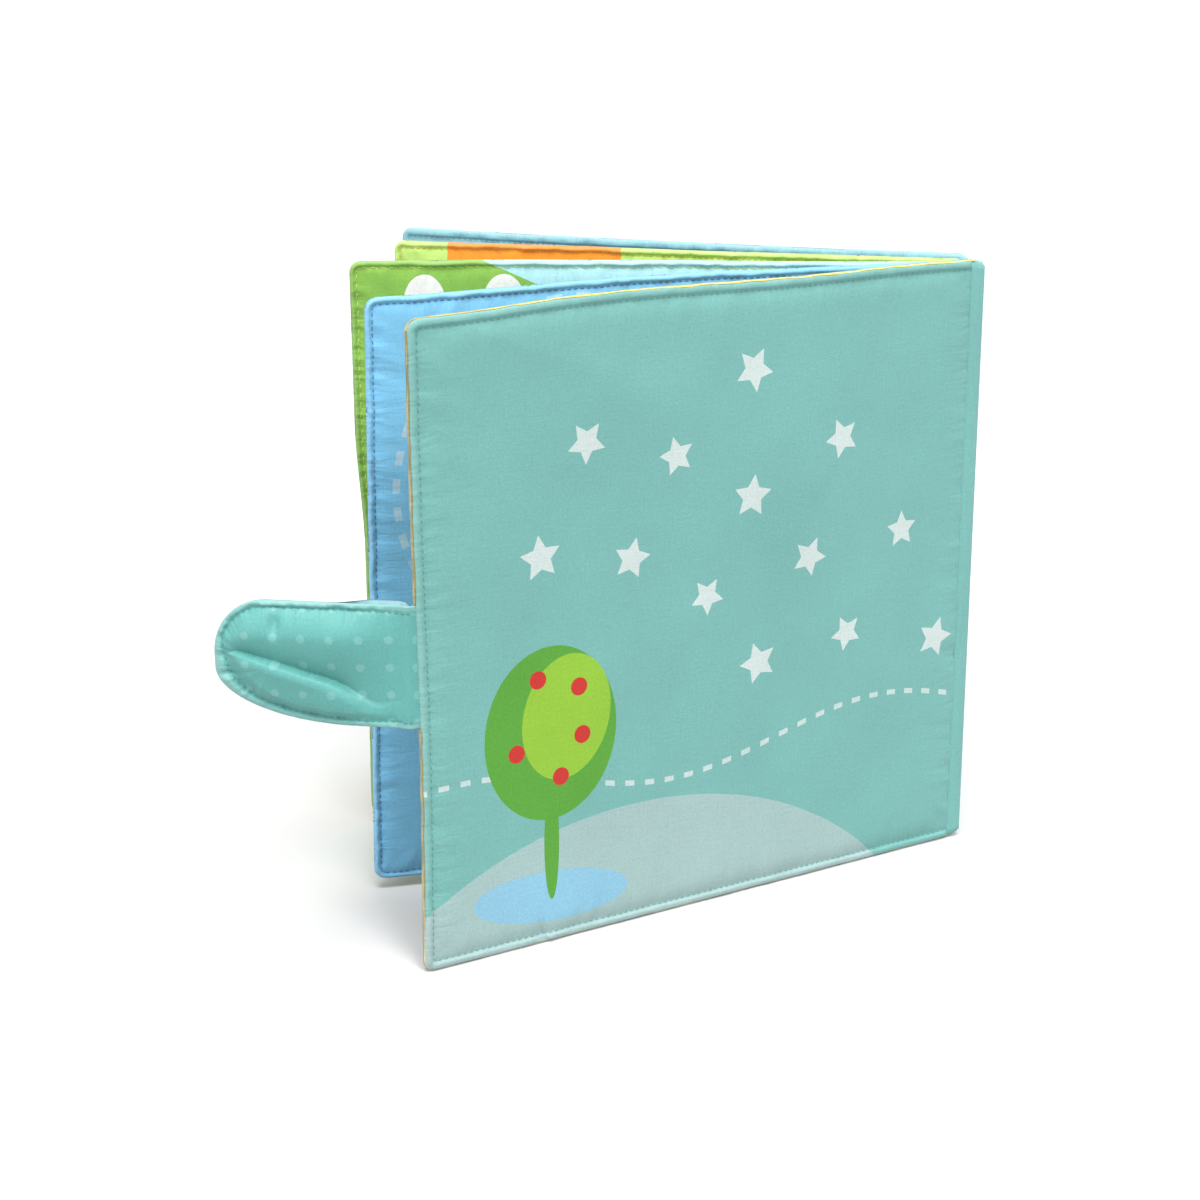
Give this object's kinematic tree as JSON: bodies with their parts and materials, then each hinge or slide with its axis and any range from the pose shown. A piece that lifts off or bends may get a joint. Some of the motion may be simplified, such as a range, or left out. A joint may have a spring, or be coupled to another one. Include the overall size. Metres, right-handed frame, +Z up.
{
  "type": "fabric photo album",
  "caption": "Padded cloth photo album standing fanned open: soft covers and leaves turn on a cloth spine, clear pockets take prints, and a hook-and-loop strap closes it.",
  "frame": {"origin": "middle of the spine's foot, on the surface that the album stands on", "axes": "+Z up; the middle leaf runs from the spine along -X; the back cover swings towards -Y and the front cover towards +Y"},
  "size_m": [0.2126, 0.1817, 0.18],
  "materials": {
    "cover_cloth": "printed cotton, plain weave, teal",
    "lining_cloth": "printed cotton, warm yellow",
    "blue_page": "printed cotton, mid blue",
    "green_page": "printed cotton, leaf green",
    "lime_page": "printed cotton, lime",
    "sky_page": "printed cotton, light blue",
    "strap_cloth": "cotton sateen, teal with small pale dots",
    "wadding": "polyester wadding",
    "interlining": "woven interlining",
    "pocket_film": "clear soft film",
    "fastener_tape": "hook-and-loop tape, pale"
  },
  "bodies": {
    "leaf_2": {"leaf_2_near_cloth": "green_page", "leaf_2_wadding": "wadding", "leaf_2_far_cloth": "lime_page", "leaf_2_spine_strip": "cover_cloth", "leaf_2_pocket_film": "pocket_film", "leaf_2_pocket_binding": "green_page"},
    "leaf_1": {"leaf_1_near_cloth": "blue_page", "leaf_1_wadding": "wadding", "leaf_1_far_cloth": "sky_page", "leaf_1_spine_strip": "cover_cloth", "leaf_1_pocket_film": "pocket_film", "leaf_1_pocket_binding": "blue_page"},
    "back_cover": {"back_cover_outer_cloth": "cover_cloth", "back_cover_wadding": "wadding", "back_cover_lining": "lining_cloth", "back_cover_spine_strip": "cover_cloth", "back_cover_pocket_film": "pocket_film", "back_cover_pocket_binding": "cover_cloth"},
    "leaf_3": {"leaf_3_near_cloth": "lime_page", "leaf_3_wadding": "wadding", "leaf_3_far_cloth": "sky_page", "leaf_3_spine_strip": "cover_cloth", "leaf_3_pocket_film": "pocket_film", "leaf_3_pocket_binding": "lime_page"},
    "front_cover": {"front_cover_lining": "sky_page", "front_cover_wadding": "wadding", "front_cover_outer_cloth": "cover_cloth", "front_cover_spine_strip": "cover_cloth", "front_cover_loop_patch": "fastener_tape"},
    "strap_base": {"strap_base_outer_cloth": "strap_cloth", "strap_base_interlining": "interlining", "strap_base_lining": "strap_cloth"},
    "strap_tip": {"strap_tip_outer_cloth": "strap_cloth", "strap_tip_interlining": "interlining", "strap_tip_lining": "strap_cloth", "strap_hook_patch": "fastener_tape"}
  },
  "joints": [
    {"name": "leaf_1_turn", "type": "hinge", "parent": "leaf_2", "child": "leaf_1", "pos_m": [0.0005, -0.00208, 0], "axis": [0, 0, 1], "range_deg": [-15, 115]},
    {"name": "back_cover_turn", "type": "hinge", "parent": "leaf_1", "child": "back_cover", "pos_m": [0.00157, -0.00608, 0], "axis": [0, 0, -1], "range_deg": [-153, 17]},
    {"name": "leaf_3_turn", "type": "hinge", "parent": "leaf_2", "child": "leaf_3", "pos_m": [0.0005, 0.00208, 0], "axis": [0, 0, 1], "range_deg": [-115, 15]},
    {"name": "front_cover_turn", "type": "hinge", "parent": "leaf_3", "child": "front_cover", "pos_m": [0.00157, 0.00608, 0], "axis": [0, 0, -1], "range_deg": [-4.4, 165.6]},
    {"name": "strap_turn", "type": "hinge", "parent": "back_cover", "child": "strap_base", "pos_m": [-0.156, -0.10859, 0], "axis": [0, 0, 1], "range_deg": [-40, 160]},
    {"name": "strap_fold", "type": "hinge", "parent": "strap_base", "child": "strap_tip", "pos_m": [-0.18094, -0.10508, 0], "axis": [0, 0, 1], "range_deg": [-100, 50]}
  ]
}
